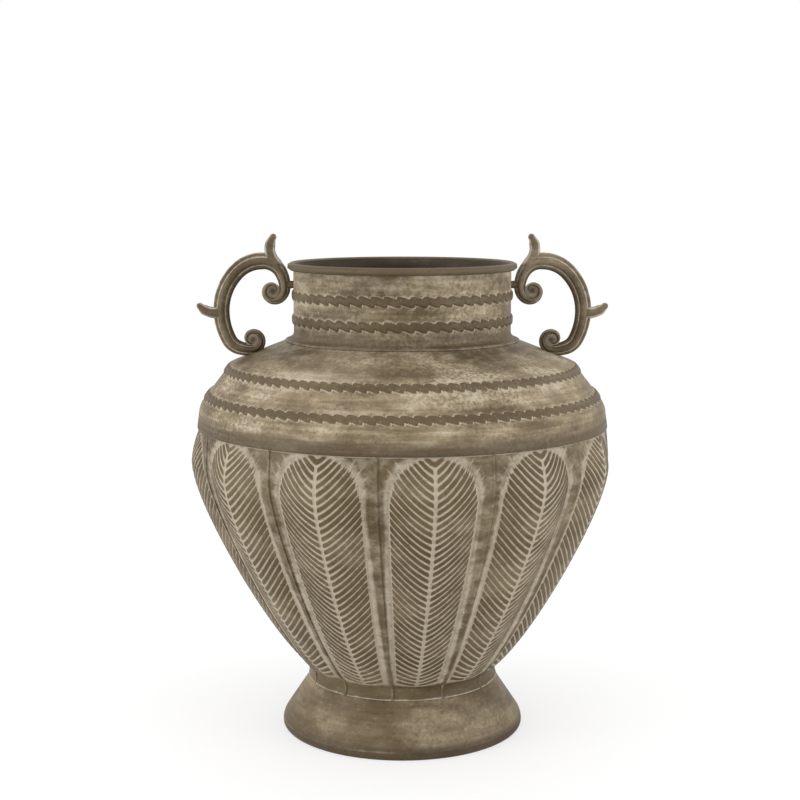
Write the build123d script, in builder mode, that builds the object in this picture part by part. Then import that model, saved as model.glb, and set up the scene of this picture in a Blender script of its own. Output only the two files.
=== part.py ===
"""Urn vase of pressed sheet iron with leaf panels, rope beads and cast scroll handles.

Millimetres, +Z up, origin on the floor at the centre of the foot, handles along X.
"""

import math
import os

from build123d import *

# Sheet and joints
sheet = 1.0
lap_gap = 0.2
seam_gap = 0.2
wire_gap = 0.05

# Foot: radius and height of the corner where its cone turns down into the hem
foot_radius = 90.3
foot_corner = 7.0
foot_round = 12.0
foot_flat = 0.2
foot_tuck = 7.0
hem_bend = 2.8
hem_turn = 250.0
rest_flat = 0.3

# Floor plate
floor_clearance = 0.4
floor_rim = 14.0
floor_dish_depth = 3.0
floor_round = 4.0

# Leaf panels: the outer face along the ridge between two leaves
panel_count = 12
panel_turn = 8.1
body_base_radius = 72.5
body_base_height = 49.0
waist_round = 8.5
flank_lean = 45.0
flank_lower_pull = 44.0
flank_upper_pull = 24.0
flank_rise = 158.0
belly_radius = 152.4
belly_to_seam = 21.5
lip_height = 6.0
tab_steps = 3
flank_steps = 10
hip_steps = 4

# Pressed leaf on each panel: its crown off the ridge, and the crease along its border
lobe_height = 5.6
leaf_fullness = 0.6
lobe_fade = 8
crease_depth = 1.0
leaf_top_margin = 9.4
leaf_base_margin = 3.8
leaf_tip_rise = 2.0
midrib_top_width = 3.0
midrib_base_width = 1.4
midrib_depth = 0.5

# Shoulder dome: the middle of its sheet, each ring measured in from the one below it
seam_inset = 0.7
skirt_rise = 17.5
shoulder_inset = 2.1
shoulder_round = 14.0
cone_rise = 29.2
crown_inset = 22.4
crown_slope = 0.41
spigot_height = 12.0

# Neck collar: the middle of its sheet
neck_radius = 79.9
neck_height = 54.5
neck_flare = 6.5
neck_round = 5.5
rim_bend = 2.3
rim_turn = 270.0

# Rope beads: height up the neck, or way up the shoulder cone, to the middle of each
lower_neck_bead = 12.9
upper_neck_bead = 30.5
shoulder_bead = 9.0
bead_width = 7.0
bead_swell = 1.4

# Scroll handles: the outermost point of the bow, measured off the neck and the crown
bow_offset = 53.6
bow_lift = 33.0
seat_offset = 31.6
seat_gap = 0.05
bar_width = 12.0
bar_depth = 10.0
reed_share = 0.56
flange_share = 0.42
web_thickness = 4.0
lug_radius = 2.8
lug_lift = 19.2
lug_length = 6.6

# Each run of a scroll: arc radius, degrees turned, bar width and bar depth at its end
upper_runs = (
    (41.0, 45, 12.4, 10.0),
    (26.0, 45, 12.6, 10.0),
    (15.6, 60, 9.8, 9.4),
    (24.0, 30, 8.4, 9.0),
    (9.5, 60, 7.4, 8.6),
    (7.0, 30, 6.6, 8.2),
    (6.5, 90, 4.8, 7.4),
    (5.2, 90, 3.2, 6.6),
    (3.4, 90, 2.4, 5.8),
)
lower_runs = (
    (46.0, 28, 11.4, 9.8),
    (12.5, 42, 10.6, 9.6),
    (28.0, 20, 9.0, 9.2),
    (9.0, 35, 7.0, 8.6),
    (6.4, 55, 5.6, 8.0),
    (6.4, 90, 4.4, 7.2),
    (5.0, 90, 3.4, 6.4),
    (3.6, 90, 2.4, 5.8),
)

# Volute webs and spurs, measured from the outermost point of the bow
upper_eye = (-37.9, 15.0)
upper_eye_radius = 5.6
lower_eye = (-23.0, -21.8)
lower_eye_radius = 5.6
top_spur_root = (-40.4, 34.6)
top_spur_heading = 48.0
top_spur_round = 16.2
top_spur_turn = 75.0
side_spur_root = (1.2, -1.0)
side_spur_heading = -15.0
side_spur_round = 15.0
side_spur_turn = 62.0
spur_root_size = (9.6, 8.4)
spur_middle_size = (7.8, 7.0)
spur_middle_way = 0.55
spur_tip_size = (5.0, 5.0)

# Heights and radii that follow from the sizes above
half_panel = math.radians(180 / panel_count)
seam_radius = belly_radius - seam_inset
shoulder_radius = seam_radius - shoulder_inset
crown_radius = shoulder_radius - crown_inset
belly_height = body_base_height + flank_rise
seam_height = belly_height + belly_to_seam
shoulder_height = seam_height + skirt_rise
crown_height = shoulder_height + cone_rise
lap_step = sheet + lap_gap
waist_middle = (
    body_base_radius + waist_round * math.sin(math.radians(flank_lean)),
    body_base_height - waist_round * math.cos(math.radians(flank_lean)),
)


def crown_line(radius):
    """Height of the middle of the crown's sheet at a radius."""
    return crown_height + (crown_radius - radius) * crown_slope


crown_tilt = math.hypot(1, crown_slope)
crown_step = lap_step * crown_tilt
spigot_radius = neck_radius - lap_step
neck_base_height = crown_line(neck_radius) + crown_step
rim_height = neck_base_height + neck_height
neck_face = neck_radius + sheet / 2
bow_reach = neck_face + bow_offset
bow_height = crown_line(neck_face + seat_offset) + bow_lift

os.makedirs("parts", exist_ok=True)

# Foot: a cone that runs up under the leaf tabs and turns down into a hem rolled inwards
hem_height = hem_bend + sheet / 2 - rest_flat
tab_reach = math.hypot(foot_radius - waist_middle[0], waist_middle[1] - foot_corner)
tab_standoff = waist_round + lap_step + sheet / 2
foot_lean = math.atan2(foot_radius - waist_middle[0], waist_middle[1] - foot_corner) + math.asin(
    tab_standoff / tab_reach
)
foot_length = math.sqrt(tab_reach**2 - tab_standoff**2) + foot_tuck
foot_bend_room = (foot_corner - hem_height - foot_flat) / math.tan(foot_lean / 2)
foot_top = (
    foot_radius - foot_length * math.sin(foot_lean),
    foot_corner + foot_length * math.cos(foot_lean),
)
with BuildPart() as foot_skirt:
    with BuildSketch(Plane.XZ):
        with BuildLine():
            cone = FilletPolyline(
                foot_top,
                (foot_radius, foot_corner),
                (foot_radius, hem_height),
                radius=min(foot_round, foot_bend_room),
            )
            JernArc(cone @ 1, cone % 1, hem_bend, -hem_turn)
        trace(line_width=sheet)
    revolve(axis=Axis.Z)
    split(bisect_by=Plane.XY)

# Foot wire: the ring that the hem is rolled over
with BuildPart() as foot_wire:
    with BuildSketch(Plane.XZ):
        with Locations((foot_radius - hem_bend, hem_height)):
            Circle(hem_bend - sheet / 2 - wire_gap)
    revolve(axis=Axis.Z)

# Floor plate: a shallow pressed dish that lies on the top edge of the foot
floor_radius = waist_middle[0] - waist_round - sheet - floor_clearance
floor_height = foot_top[1] + sheet / 2 * math.sin(foot_lean) + sheet / 2 + wire_gap
with BuildPart() as floor_plate:
    with BuildSketch(Plane.XZ):
        with BuildLine():
            FilletPolyline(
                (0, floor_height - floor_dish_depth),
                (floor_radius - floor_rim - floor_dish_depth, floor_height - floor_dish_depth),
                (floor_radius - floor_rim, floor_height),
                (floor_radius, floor_height),
                radius=floor_round,
            )
        trace(line_width=sheet)
    revolve(axis=Axis.Z)


def seam_share(height):
    """How far up a panel's flank a height lies, from 0 at its base to 1 at the seam."""
    share = (height - body_base_height) / (seam_height - body_base_height)
    return min(max(share, 0), 1)


def swell(height):
    """Share of the leaf's full relief at a height: none at the base, none at the seam."""
    share = seam_share(height)
    peak_share = (leaf_fullness / (leaf_fullness + lobe_fade)) ** (1 / lobe_fade)
    peak = peak_share**leaf_fullness * (1 - peak_share**lobe_fade)
    return share**leaf_fullness * (1 - share**lobe_fade) / peak


def leaf_half_width(point):
    """Half the leaf's width: straight sides off the ridges, closed by a round arch at the top."""
    share = seam_share(point.Y)
    margin = leaf_base_margin + (leaf_top_margin - leaf_base_margin) * share**leaf_fullness
    arch_rise = max(min(point.Y, seam_height) - arch_height, 0)
    return min(point.X * half_panel - margin, math.sqrt(arch_radius**2 - arch_rise**2))


def seam_point(radius, side):
    """Point on one seam face of a panel whose middle lies along X."""
    along = radius * math.cos(half_panel) + seam_gap / 2 * math.sin(half_panel)
    across = radius * math.sin(half_panel) - seam_gap / 2 * math.cos(half_panel)
    return (along, side * across)


def polar(radius, angle):
    """Point at a radius and an angle off the panel's middle."""
    return (radius * math.cos(angle), radius * math.sin(angle))


def panel_face(ridge, point):
    """Arcs across one face of the panel: ridge to crease, over the leaf, crease to ridge."""
    crown = ridge + lobe_height * swell(point.Y)
    crease = ridge - crease_depth * swell(point.Y)
    border = leaf_half_width(point) / point.X
    flank_middle = (border + half_panel) / 2
    flank_radius = (3 * ridge + crease) / 4
    left = ThreePointArc(
        seam_point(ridge, -1), polar(flank_radius, -flank_middle), polar(crease, -border)
    )
    ThreePointArc(left @ 1, (crown, 0), polar(crease, border))
    right = ThreePointArc(
        polar(crease, border), polar(flank_radius, flank_middle), seam_point(ridge, 1)
    )
    return left @ 0, right @ 1


def panel_section(point, direction):
    """Strip of sheet across the panel where its profile passes a point in a direction."""
    with BuildSketch(Plane.XY.offset(point.Y)) as strip:
        with BuildLine():
            outer_start, outer_end = panel_face(point.X, point)
            inner_start, inner_end = panel_face(point.X - sheet / abs(direction.Y), point)
            Line(outer_start, inner_start)
            Line(outer_end, inner_end)
        make_face()
    return strip.sketch


def midrib_section(point):
    """Groove down the crown of the leaf, open towards the outside."""
    width = midrib_base_width + (midrib_top_width - midrib_base_width) * seam_share(point.Y)
    with BuildSketch(Plane.XY.offset(point.Y)) as groove:
        with Locations((point.X + lobe_height * swell(point.Y), 0)):
            Rectangle(2 * midrib_depth, width)
    return groove.sketch


# Leaf panel: a tab on the foot, a lobed flank and a lip that tucks under the dome
lip_inset = sheet / 2 + lap_gap
lip_lean = (seam_radius - shoulder_radius) / skirt_rise
belly = (belly_radius, belly_height)
lip = (seam_radius - lip_inset, seam_height)
lip_top = (lip[0] - lip_height * lip_lean, seam_height + lip_height)
arch_radius = belly_radius * half_panel - leaf_top_margin
arch_height = seam_height + leaf_tip_rise - arch_radius
flank_pull = (
    body_base_radius + flank_lower_pull * math.sin(math.radians(flank_lean)),
    body_base_height + flank_lower_pull * math.cos(math.radians(flank_lean)),
)
with BuildLine() as panel_profile:
    flank = Bezier(
        (body_base_radius, body_base_height),
        flank_pull,
        (belly_radius, belly_height - flank_upper_pull),
        belly,
    )
    tab = JernArc(flank @ 0, -(flank % 0), waist_round, flank_lean + math.degrees(foot_lean))
    hip = TangentArc(belly, lip, tangent=(0, 1))
    tuck = Line(lip, lip_top)

tab_stations = [(tab, step / tab_steps) for step in range(tab_steps, 0, -1)]
flank_stations = [(flank, step / flank_steps) for step in range(flank_steps + 1)]
hip_stations = [(hip, step / hip_steps) for step in range(1, hip_steps + 1)]
stations = tab_stations + flank_stations + hip_stations + [(tuck, 1)]
with BuildPart() as leaf_panel:
    loft([panel_section(curve @ share, curve % share) for curve, share in stations])
    loft(
        [midrib_section(curve @ share) for curve, share in flank_stations + hip_stations],
        mode=Mode.SUBTRACT,
    )

# Shoulder dome: skirt over the panel lips, cone with two rope beads, crown and neck spigot
cone_length = math.hypot(shoulder_radius - crown_radius, cone_rise)
cone_in = (shoulder_radius - crown_radius) / cone_length
cone_up = cone_rise / cone_length


def cone_point(way, swell=0.0):
    """Point a way up the shoulder cone, raised off it by a swell."""
    radius = shoulder_radius - way * cone_in + swell * cone_up
    return (radius, shoulder_height + way * cone_up + swell * cone_in)


with BuildPart() as shoulder_dome:
    with BuildSketch(Plane.XZ):
        with BuildLine():
            FilletPolyline(
                (seam_radius, seam_height),
                (shoulder_radius, shoulder_height),
                cone_point(shoulder_bead - bead_width / 2),
                radius=shoulder_round,
            )
            ThreePointArc(
                cone_point(shoulder_bead - bead_width / 2),
                cone_point(shoulder_bead, bead_swell),
                cone_point(shoulder_bead + bead_width / 2),
            )
            Line(cone_point(shoulder_bead + bead_width / 2), cone_point(cone_length - bead_width))
            ThreePointArc(
                cone_point(cone_length - bead_width),
                cone_point(cone_length - bead_width / 2, bead_swell),
                cone_point(cone_length),
            )
            FilletPolyline(
                (crown_radius, crown_height),
                (spigot_radius, crown_line(spigot_radius)),
                (spigot_radius, crown_line(spigot_radius) + spigot_height),
                radius=neck_round + lap_step,
            )
        trace(line_width=sheet)
    revolve(axis=Axis.Z)

# Neck collar: a flare on the crown, a wall with two rope beads and a rim curled outwards
flare_radius = neck_radius + neck_flare
curl_height = rim_height - rim_bend - sheet / 2
with BuildPart() as neck_collar:
    with BuildSketch(Plane.XZ):
        with BuildLine():
            wall = FilletPolyline(
                (flare_radius, crown_line(flare_radius) + crown_step),
                (neck_radius, neck_base_height),
                (neck_radius, neck_base_height + lower_neck_bead - bead_width / 2),
                radius=neck_round,
            )
            end = wall @ 1
            for bead_height in (lower_neck_bead, upper_neck_bead):
                bead_middle = neck_base_height + bead_height
                bead_bottom = (neck_radius, bead_middle - bead_width / 2)
                bead_top = (neck_radius, bead_middle + bead_width / 2)
                if end.Y < bead_bottom[1]:
                    Line(end, bead_bottom)
                bead = ThreePointArc(bead_bottom, (neck_radius + bead_swell, bead_middle), bead_top)
                end = bead @ 1
            riser = Line(end, (neck_radius, curl_height))
            JernArc(riser @ 1, (0, 1), rim_bend, -rim_turn)
        trace(line_width=sheet)
    revolve(axis=Axis.Z)

# Rim wire: the ring that the rim is curled over
with BuildPart() as rim_wire:
    with BuildSketch(Plane.XZ):
        with Locations((neck_radius + rim_bend, curl_height)):
            Circle(rim_bend - sheet / 2 - wire_gap)
    revolve(axis=Axis.Z)


def bar_plane(position, direction):
    """Plane square to a bar that lies in the XZ plane, its X across the bar."""
    return Plane(origin=position, x_dir=direction.cross(Vector(0, 1, 0)), z_dir=direction)


def bar_section(position, direction, width, depth):
    """Moulded bar: a rounded reed standing proud of a thinner flange on each side."""
    with BuildSketch(bar_plane(position, direction)) as section:
        SlotOverall(width, width * flange_share)
        Ellipse(width * reed_share / 2, depth / 2)
    return section.sketch


def horn_section(position, direction, size):
    """Oval section of a spur."""
    with BuildSketch(bar_plane(position, direction)) as section:
        Ellipse(size[0] / 2, size[1] / 2)
    return section.sketch


def off_bow(offset):
    """Point of the handle measured from the outermost point of its bow."""
    return (bow_reach + offset[0], bow_height + offset[1])


def scroll(runs, heading, turn):
    """Sweep the moulded bar along one half of the handle, from the bow into its volute."""
    start, tangent = off_bow((0, 0)), heading
    width, depth = bar_width, bar_depth
    for radius, angle, end_width, end_depth in runs:
        with BuildLine(Plane.XZ) as run:
            arc = JernArc(start, tangent, radius, turn * angle)
        sections = [
            bar_section(arc @ 0, arc % 0, width, depth),
            bar_section(arc @ 1, arc % 1, end_width, end_depth),
        ]
        sweep(sections, path=run.line, multisection=True)
        start, tangent = arc @ 1, arc % 1
        width, depth = end_width, end_depth


def spur(root, heading, radius, turn):
    """Tapered horn that springs off the bar and ends in a rounded tip."""
    direction = (math.cos(math.radians(heading)), math.sin(math.radians(heading)))
    with BuildLine(Plane.XZ) as horn:
        arc = JernArc(off_bow(root), direction, radius, turn)
    sections = [
        horn_section(arc @ 0, arc % 0, spur_root_size),
        horn_section(arc @ spur_middle_way, arc % spur_middle_way, spur_middle_size),
        horn_section(arc @ 1, arc % 1, spur_tip_size),
    ]
    sweep(sections, path=horn.line, multisection=True)
    with Locations(arc @ 1):
        Sphere(spur_tip_size[0] / 2)


# What the right handle is cut back to: the top face of the crown, with the seat's gap
crown_top = sheet / 2 * crown_tilt + seat_gap
with BuildPart() as crown_core:
    with BuildSketch(Plane.XZ):
        with BuildLine():
            Polyline(
                (0, 0),
                (crown_radius, 0),
                (crown_radius, crown_height + crown_top),
                (0, crown_line(0) + crown_top),
                close=True,
            )
        make_face()
    revolve(axis=Axis.Z)

# Right handle: upper and lower scroll, the webs of both volutes, and two spurs
with BuildPart() as handle_right:
    scroll(upper_runs, (0, 1), 1)
    scroll(lower_runs, (0, -1), -1)
    for eye, eye_radius in ((upper_eye, upper_eye_radius), (lower_eye, lower_eye_radius)):
        with BuildSketch(Plane.XZ):
            with Locations(off_bow(eye)):
                Circle(eye_radius)
        extrude(amount=web_thickness / 2, both=True)
    spur(top_spur_root, top_spur_heading, top_spur_round, top_spur_turn)
    spur(side_spur_root, side_spur_heading, side_spur_round, side_spur_turn)
    add(crown_core.part, mode=Mode.SUBTRACT)

# Right neck lug: a stub from the neck wall to the back of the upper volute
with BuildPart() as neck_lug_right:
    with BuildSketch(Plane.YZ):
        with Locations((0, bow_height + lug_lift)):
            Circle(lug_radius)
    extrude(amount=neck_face + lug_length)
    with BuildSketch(Plane.XY):
        Circle(neck_face + seat_gap)
    extrude(amount=rim_height, mode=Mode.SUBTRACT)
    add(handle_right.part, mode=Mode.SUBTRACT)

with BuildPart() as handle_left:
    mirror(handle_right.part, about=Plane.YZ)

with BuildPart() as neck_lug_left:
    mirror(neck_lug_right.part, about=Plane.YZ)

pieces = {
    "foot_skirt": foot_skirt,
    "foot_wire": foot_wire,
    "floor_plate": floor_plate,
    "shoulder_dome": shoulder_dome,
    "neck_collar": neck_collar,
    "rim_wire": rim_wire,
    "handle_left": handle_left,
    "handle_right": handle_right,
    "neck_lug_left": neck_lug_left,
    "neck_lug_right": neck_lug_right,
}
for number in range(panel_count):
    with BuildPart() as turned_panel:
        with Locations(Rotation(0, 0, panel_turn + 360 / panel_count * number)):
            add(leaf_panel.part)
    pieces[f"leaf_panel_{number + 1:02d}"] = turned_panel

for name, piece in pieces.items():
    piece.part.label = name
    export_step(piece.part, f"parts/{name}.step")
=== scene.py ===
"""Urn vase of pressed and spun sheet iron, painted brown with a pale wash left in its recesses.

Sizes are in millimetres and become metres where a mesh is made. The axis of the vase is Z.
"""

import math
from bisect import bisect_right

import bmesh
import bpy
from mathutils import Matrix, Vector


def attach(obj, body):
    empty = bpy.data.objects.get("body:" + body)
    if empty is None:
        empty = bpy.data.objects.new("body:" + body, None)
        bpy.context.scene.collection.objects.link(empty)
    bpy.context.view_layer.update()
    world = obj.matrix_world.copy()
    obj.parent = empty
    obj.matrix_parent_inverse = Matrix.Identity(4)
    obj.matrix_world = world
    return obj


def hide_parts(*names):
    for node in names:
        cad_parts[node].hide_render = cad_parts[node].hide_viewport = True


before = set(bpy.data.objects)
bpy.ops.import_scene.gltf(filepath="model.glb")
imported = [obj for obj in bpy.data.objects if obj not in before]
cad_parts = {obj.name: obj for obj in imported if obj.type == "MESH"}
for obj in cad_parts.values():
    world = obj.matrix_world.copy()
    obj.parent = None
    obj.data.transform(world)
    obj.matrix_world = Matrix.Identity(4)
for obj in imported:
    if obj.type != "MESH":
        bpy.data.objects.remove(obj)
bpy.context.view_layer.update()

MM = 0.001
CAMERA_RAYS = ("Is Camera Ray", "Is Glossy Ray", "Is Transmission Ray")
NEARLY_ZERO = 1e-6

# Sockets of a mix node that mixes colours
MIX_SHARE = 0
MIX_FIRST = 6
MIX_SECOND = 7
MIX_COLOUR = 2

# Half the side of a grid before it is bent to shape, and the gaps that are closed in a mesh
GRID_HALF = 0.5
SEAM_WELD = 0.01
BAR_WELD = 0.005

# Sheet and foot
sheet = 1.0
lap_step = 1.2
foot_radius = 90.3
foot_corner = 7.0
foot_round = 12.0
foot_tuck = 7.0
hem_bend = 2.8
hem_turn = 250.0
rest_flat = 0.3
hem_steps = 24
foot_bend_steps = 8
foot_rows = 8
foot_inner_stride = 2
foot_sectors = 12
foot_steps = 24
hem_line_rise = 3.2
hem_line_wash = 0.35
hem_line_fade = (0.3, 1.2)
# Darker at the hem and just above it
hem_darkening_fade = (2.0, 10.0)

# Leaf panels
panel_count = 12
panel_turn = math.radians(8.1)
half_panel = math.pi / panel_count
waist_round = 8.5
base_radius = 72.5
base_height = 49.0
flank_lean = math.radians(45)
flank_lower_pull = 44.0
flank_upper_pull = 24.0
belly_radius = 152.4
belly_height = 207.0
seam_height = 228.5
lip_radius = 151.0
lip_height = 6.0
lip_lean = 0.12
profile_steps = 400
profile_bend_steps = 60
lip_steps = 8
panel_wall = 0.8
seam_lap = 2.0
seam_lift = 0.55
lap_rise = 0.5
lap_ramp = 5.0
probe_angle = 0.002
probe_way = 0.2

# Leaf relief
lobe_height = 5.55
leaf_fullness = 0.6
lobe_fade = 8
crease_depth = 1.0
leaf_top_margin = 9.4
leaf_base_margin = 3.8
leaf_tip_rise = 2.0
vein_pitch = 5.5
vein_base_pitch = 3.9
vein_base_ramp = 22.0
vein_slope = 0.73
vein_inner_groove = 0.53
vein_outer_groove = 0.26
vein_bend = 1.38
vein_room = 0.86
vein_ease = 0.25
least_ease = 0.01
vein_tries = 12
base_rise = 5.0
full_rise = 30.0
tip_rise = 37.0
rise_ramp = 48.0
tip_rise_start = 50.0
tip_rise_end = 10.0
groove_depth = 0.7
groove_bank = (-0.35, 0.45)
leaf_foot = 0.4
midrib_top = 1.0
midrib_base = 0.9
midrib_stop = 8.5
midrib_taper = 2.0
midrib_closing = 3.0
border_groove = 0.55
border_bank = (0.5 * border_groove, border_groove + 0.7)
border_reach = 1.8
border_blade_part = 3
border_strip_share = 0.7
bar_round = 1.1
skirt_lift = 1.8
tick_pitch = 5.6
tick_lean = 0.8
tick_depth = 0.3
tick_reach = 4.5
tick_growth = 9.0
tick_grows = (190.0, 224.0)
tick_starts = (165.0, 195.0)
tick_core = 0.4
tick_stroke = (0.04, 0.16)

# Wash on and beside the leaves, and painted shade beside the seams
groove_line = (-0.25, 0.45)
border_line = (0.3 * border_groove, border_groove + 0.5)
edge_line = (0.3, 1.3)
dome_edge_wash = 0.8
tab_edge_wash = 0.75
tick_wash = 0.55
lap_wash = 0.25
seam_shade = 0.6
seam_shade_offset = 0.5
seam_shade_fade = (0.2, 1.2)
smear_low = 5.5
smear_high = 3.6
smear_top = 6.5
smear_narrows = (110.0, 190.0)
smear_widens = (195.0, 215.0)
smear_edge = (0.5, 1.0)
smear_film = 0.24
smear_wash = 0.44
smear_loss = 0.15
smear_thins = (110.0, 180.0)

# Shoulder dome
seam_radius = 151.7
shoulder_radius = 149.6
shoulder_height = 246.0
shoulder_round = 14.0
crown_radius = 127.2
crown_height = 275.2
crown_slope = 0.41
spigot_height = 12.0
skirt_rows = 6
shoulder_bend_steps = 8
cone_rows = 6
crown_bend_steps = 6
dome_inner_stride = 6
dome_lobes = 100
dome_sectors = 25
dome_steps = 40
# Darker band along the lower edge of the skirt
skirt_edge_darkening = 0.85
skirt_edge_darkening_fade = (4.0, 13.0)
crown_ramp = 5.0
crown_bare = 0.42
crown_wash = 0.27
inward_facing = -0.1

# Neck collar
neck_radius = 79.9
neck_height = 54.5
neck_flare = 6.5
neck_round = 5.5
rim_bend = 2.3
rim_turn = 270.0
rim_steps = 24
flare_bend_steps = 8
neck_wall_rows = 5
neck_top_rows = 6
neck_inner_stride = 5
neck_lobes = 55
neck_sectors = 20
neck_steps = 36
flare_wash = 0.45
flare_wash_fade = (0.2, 1.8)
# Darker at the foot of the neck
flare_darkening = 0.75
flare_darkening_fade = (4.0, 11.0)
neck_wash = 0.15
neck_top_wash = 0.13
neck_top_start = 5.0
neck_top_end = 3.0

# Rope beads
lower_neck_bead = 12.9
upper_neck_bead = 30.5
shoulder_bead = 9.0
bead_width = 7.0
bead_swell = 1.4
bead_reach = 1.35
bead_rows = 19
rope_twist = 0.3
rope_top_lean = 0.85
rope_foot_lean = 1.7
rope_edge = 1.16
rope_scallop = 0.62
rope_fullness = 0.6
rope_squareness = 4
rope_span = 2.0
rope_notch = 0.45
notch_floor = (0.0, 0.5)
notch_side = (0.1, 0.7)
notch_paint = (0.0, 0.8)
notch_top_wash = 0.42
notch_foot_wash = 0.6
rope_wash = 0.38
rope_wash_start = (0.9, 1.0)
rope_wash_end = (1.05, 1.45)
rope_bare = 0.72
rope_bare_end = (0.86, 1.0)

# Scroll handles: a run is radius, turn, end width and end depth,
# a spur is root, heading, radius and turn, and a size is width and depth
bow_offset = 53.6
bow_lift = 33.0
seat_offset = 31.6
bar_width = 12.0
bar_depth = 10.0
reed_share = 0.56
flange_share = 0.42
bar_sides = 48
run_step = 0.9
least_run_steps = 4
cap_steps = 4
upper_runs = (
    (41.0, 45, 12.4, 10.0),
    (26.0, 45, 12.6, 10.0),
    (15.6, 60, 9.8, 9.4),
    (24.0, 30, 8.4, 9.0),
    (9.5, 60, 7.4, 8.6),
    (7.0, 30, 6.6, 8.2),
    (6.5, 90, 4.8, 7.4),
    (5.2, 90, 3.2, 6.6),
    (3.4, 90, 2.4, 5.8),
)
lower_runs = (
    (46.0, 28, 11.4, 9.8),
    (12.5, 42, 10.6, 9.6),
    (28.0, 20, 9.0, 9.2),
    (9.0, 35, 7.0, 8.6),
    (6.4, 55, 5.6, 8.0),
    (6.4, 90, 4.4, 7.2),
    (5.0, 90, 3.4, 6.4),
    (3.6, 90, 2.4, 5.8),
)
upper_eye = (-37.9, 15.0)
lower_eye = (-23.0, -21.8)
eye_radius = 5.4
eye_thickness = 3.2
eye_segments = 48
# Painted shade in the middle of a volute's eye
eye_painted_shade = 0.9
top_spur = ((-40.4, 34.6), 48.0, 16.2, 75.0)
side_spur = ((1.2, -1.0), -15.0, 15.0, 62.0)
spur_root_size = (9.6, 8.4)
spur_middle_size = (7.8, 7.0)
spur_tip_size = (5.0, 5.0)
spur_middle = 0.55
spur_taper = (0.7, 1.0)
spur_steps = 24
spur_sides = 32
spur_wash = 0.6
spur_wash_start = (0.5, 0.78)
spur_wash_end = (0.9, 1.0)
reed_groove = 0.5
reed_groove_bank = (0.1, 0.75)
# Painted highlight along the bar's outer edge and painted shade on its inner side
bar_edge_painted_highlight = 0.5
bar_highlight_band = (0.9, 0.99)
bar_inner_painted_shade = 0.7
bar_shade_band = (0.72, 0.95)

# Stage in metres: a lamp is name, place, size and power
floor_size = 12.0
floor_bounce = 0.75
floor_shade = 0.42
floor_glow = 0.6
room_light = 0.96
room_white = 1.0
lamp_target = (0, 0, 0.2)
lamps = (
    ("key_lamp", (-1.75, -0.85, 0.42), 1.2, 17.0),
    ("fill_lamp", (1.8, -0.8, 0.35), 1.2, 15.5),
    ("top_lamp", (0.1, 0.2, 1.9), 1.4, 2.0),
)

# Camera
camera_reach = 1177.6
camera_height = 410.6
camera_pitch = 7.89
camera_lens = 71.6
camera_sensor = 36.0
camera_shift = -0.0029


def smooth(low, high, value):
    """Smooth step from 0 at low to 1 at high."""
    share = min(max((value - low) / (high - low), 0.0), 1.0)
    return share * share * (3 - 2 * share)


def soft_min(first, second, blend):
    """The lesser of two values, rounded over where they are about equal."""
    share = max(blend - abs(first - second), 0.0) / blend
    return min(first, second) - share * share * blend / 4


def arc(middle, radius, start, turn, steps):
    """Points along an arc in the radius and height plane, angles in degrees."""
    angles = [math.radians(start + turn * step / steps) for step in range(steps + 1)]
    return [
        (middle[0] + radius * math.cos(angle), middle[1] + radius * math.sin(angle))
        for angle in angles
    ]


def straight(start, end, steps):
    """Points along a straight line."""
    (x, y), (end_x, end_y) = start, end
    return [
        (x + (end_x - x) * step / steps, y + (end_y - y) * step / steps)
        for step in range(steps + 1)
    ]


def joined(*runs):
    """One line of points from runs that meet end to end."""
    line = list(runs[0])
    for run in runs[1:]:
        line.extend(run[1:])
    return line


def rounded(first, corner, last, radius, steps):
    """Line from first over a rounded corner to last."""
    back = (Vector(first) - Vector(corner)).normalized()
    onward = (Vector(last) - Vector(corner)).normalized()
    half_angle = back.angle(onward) / 2
    reach = radius / math.tan(half_angle)
    begin = Vector(corner) + back * reach
    middle = Vector(corner) + (back + onward).normalized() * radius / math.sin(half_angle)
    spoke = begin - middle
    turn = back.angle_signed(onward)
    sweep = math.copysign(math.pi - abs(turn), turn)
    start = math.degrees(math.atan2(spoke.y, spoke.x))
    return [tuple(first)] + arc(middle, radius, start, math.degrees(sweep), steps) + [tuple(last)]


def thick_outline(line, inner_stride):
    """Closed outline of a sheet along a line, outer face to the right, fewer points on the inner one."""
    outer, inner = [], []
    for index, point in enumerate(line):
        before = Vector(line[max(index - 1, 0)])
        after = Vector(line[min(index + 1, len(line) - 1)])
        along = (after - before).normalized()
        normal = Vector((along.y, -along.x)) * sheet / 2
        outer.append(Vector(point) + normal)
        if index % inner_stride == 0 or index == len(line) - 1:
            inner.append(Vector(point) - normal)
    return outer + inner[::-1]


def spun(outline, sectors, steps):
    """Mesh of a closed outline spun round the axis, as equal sectors of a few steps each."""
    bm = bmesh.new()
    ring = [bm.verts.new((radius * MM, 0, height * MM)) for radius, height in outline]
    edges = [bm.edges.new(pair) for pair in zip(ring, ring[1:] + ring[:1])]
    sector = math.tau / sectors
    about = {"cent": (0, 0, 0), "axis": (0, 0, 1)}
    bmesh.ops.spin(bm, geom=ring + edges, angle=sector, steps=steps, **about)
    whole = bm.verts[:] + bm.edges[:] + bm.faces[:]
    rest = math.tau - sector
    bmesh.ops.spin(bm, geom=whole, angle=rest, steps=sectors - 1, use_duplicate=True, **about)
    bmesh.ops.remove_doubles(bm, verts=bm.verts, dist=SEAM_WELD * MM)
    bmesh.ops.recalc_face_normals(bm, faces=bm.faces)
    # The order in which a spin leaves its faces changes from run to run
    bm.verts.index_update()
    bm.faces.sort(key=lambda face: face.verts[0].index)
    return bm


def meshed(name, bm):
    """Mesh of a bmesh, which is freed."""
    mesh = bpy.data.meshes.new(name)
    bm.to_mesh(mesh)
    bm.free()
    return mesh


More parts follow.
